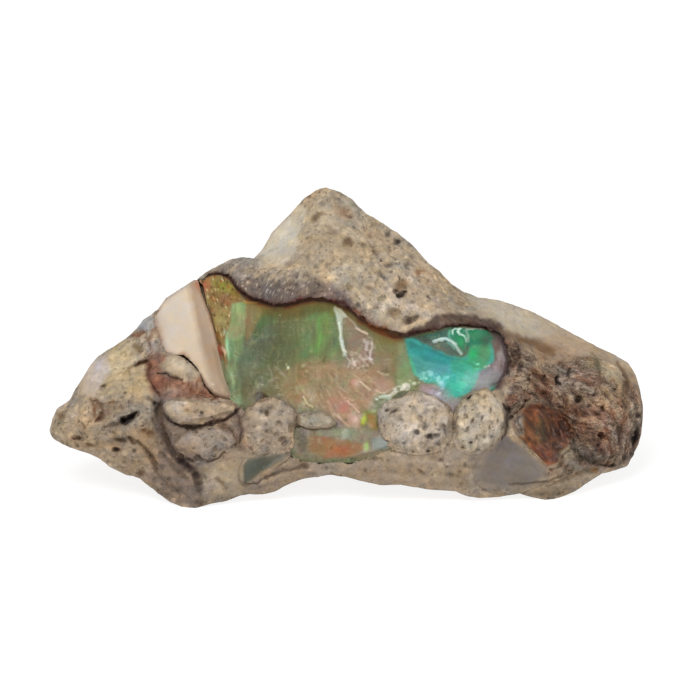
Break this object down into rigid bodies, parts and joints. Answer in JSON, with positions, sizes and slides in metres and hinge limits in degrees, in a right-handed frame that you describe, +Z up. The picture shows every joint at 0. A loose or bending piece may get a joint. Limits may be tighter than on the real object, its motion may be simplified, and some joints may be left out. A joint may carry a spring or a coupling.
{
  "type": "opal in matrix",
  "caption": "Rough hand specimen: a seam of precious opal with play of colour, held between lumps of tan volcanic tuff; rests on its flat underside.",
  "frame": {"origin": "on the resting surface, under the middle of the stone's bounding box", "axes": "+Z up, +X along the stone's length towards its blunt rusty end, -Y towards the face that shows the opal"},
  "size_m": [0.0462, 0.0228, 0.0214],
  "materials": {
    "host_tuff": "rough, pitted, earthy volcanic tuff with iron stains",
    "pale_tuff": "rough pale tuff lumps with fine dark pits",
    "precious_opal": "glossy conchoidal opal, green, blue-green and pink play of colour",
    "common_opal": "satin cream opal without play of colour",
    "milky_opal": "grey-lilac translucent opal, satin gloss",
    "iron_opal": "rust-brown iron-stained translucent opal"
  },
  "bodies": {
    "root": {"host_rock": "host_tuff", "precious_opal": "precious_opal", "common_opal": "common_opal", "lower_opal": "milky_opal", "lilac_opal": "milky_opal", "iron_opal": "iron_opal", "clast_upper_left": "pale_tuff", "clast_lower_left": "pale_tuff", "clast_centre_left": "pale_tuff", "clast_small": "pale_tuff", "clast_centre": "pale_tuff", "clast_right": "pale_tuff"}
  },
  "joints": []
}
